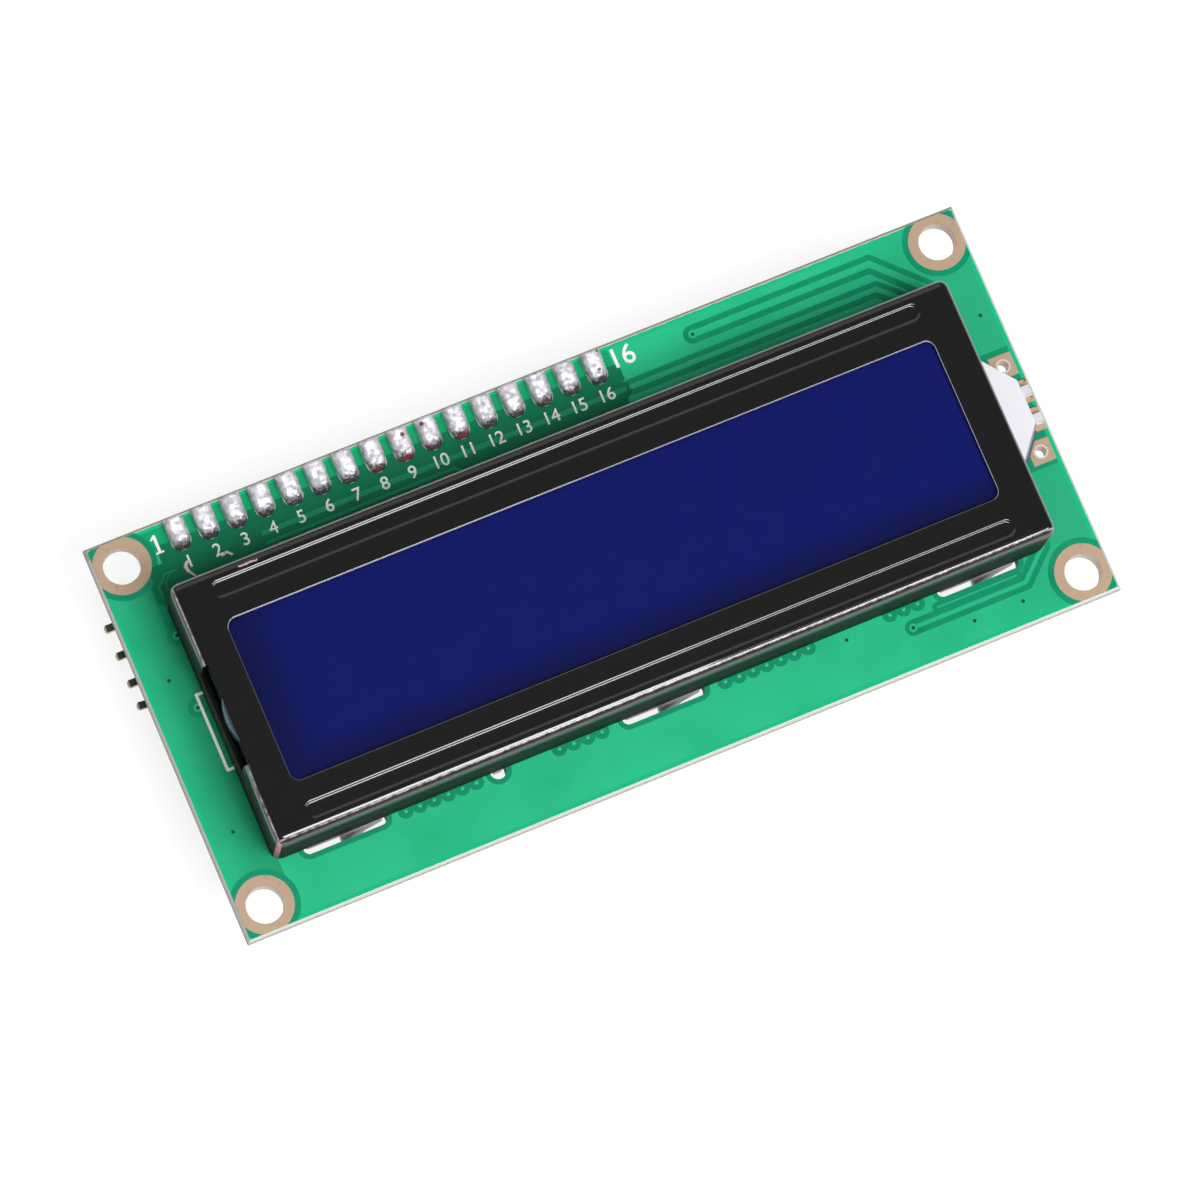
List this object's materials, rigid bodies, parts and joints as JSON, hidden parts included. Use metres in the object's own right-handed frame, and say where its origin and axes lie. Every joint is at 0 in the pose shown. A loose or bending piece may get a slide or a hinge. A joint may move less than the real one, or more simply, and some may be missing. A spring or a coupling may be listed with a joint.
{
  "type": "character display module",
  "caption": "Character display module: a green board with a black folded steel bezel round a blue window, side backlight, and a serial adapter board soldered behind it.",
  "frame": {"origin": "centre of the four mounting holes, on the front face of the display board", "axes": "+X along the board from pin 1 towards the backlight end, +Y across it towards the pin row, +Z out of the window towards the viewer"},
  "size_m": [0.0802, 0.036, 0.0175],
  "materials": {
    "board_mask": "gloss solder mask",
    "bare_plating": "dull hot-air solder",
    "solder": "satin",
    "pin_plating": "bright",
    "header_plastic": "satin",
    "bezel_paint": "gloss black",
    "display_face": "smooth deep blue",
    "cell_glass": "clear",
    "port_resin": "gloss",
    "rear_film": "satin",
    "white_film": "satin",
    "guide_acrylic": "clear",
    "elastomer": "matte",
    "diode_lens": "clear",
    "gold_terminal": "satin",
    "chip_resin": "gloss",
    "resistor_body": "gloss",
    "adapter_mask": "gloss solder mask",
    "trimmer_plastic": "satin",
    "rotor_plastic": "satin",
    "chip_plastic": "satin",
    "capacitor_body": "matte ceramic"
  },
  "bodies": {
    "module": {"lcd_board": "board_mask", "mounting_rings": "bare_plating", "backlight_pads": "bare_plating", "header_pads": "bare_plating", "header_joints": "solder", "header_pins": "pin_plating", "header_strip": "header_plastic", "bezel": "bezel_paint", "front_polarizer": "display_face", "front_glass": "cell_glass", "rear_glass": "cell_glass", "fill_port_seal": "port_resin", "rear_polarizer": "rear_film", "diffuser_film": "white_film", "light_guide": "guide_acrylic", "reflector_film": "white_film", "neck_tape": "white_film", "contact_strip_upper": "elastomer", "contact_strip_lower": "elastomer", "backlight_diodes": "diode_lens", "backlight_diode_ends": "gold_terminal", "driver_caps": "chip_resin", "board_resistors": "resistor_body", "board_resistor_ends": "solder", "adapter_board": "adapter_mask", "adapter_header_joints": "solder", "adapter_leg_joints": "solder", "bus_header_pins": "pin_plating", "bus_header_strip": "header_plastic", "jumper_header_pins": "pin_plating", "jumper_header_strip": "header_plastic", "trimmer_body": "trimmer_plastic", "trimmer_leads": "solder", "expander_chip": "chip_plastic", "expander_leads": "solder", "transistor": "chip_plastic", "transistor_leads": "solder", "adapter_resistors": "resistor_body", "adapter_resistor_ends": "solder", "adapter_capacitors": "capacitor_body", "adapter_capacitor_ends": "solder", "power_lamp": "diode_lens", "power_lamp_ends": "gold_terminal", "bridge_pads": "bare_plating"},
    "contrast_rotor": {"trimmer_rotor": "rotor_plastic"},
    "jumper": {"jumper_cap": "header_plastic", "jumper_clip": "gold_terminal"}
  },
  "joints": [
    {"name": "contrast_turn", "type": "hinge", "parent": "module", "child": "contrast_rotor", "pos_m": [-0.0045, 0.0082, -0.0102], "axis": [0, 0, -1], "range_deg": [-120, 120]},
    {"name": "jumper_pull", "type": "slide", "parent": "module", "child": "jumper", "axis": [1, 0, 0], "range_m": [0, 0.0062]}
  ]
}
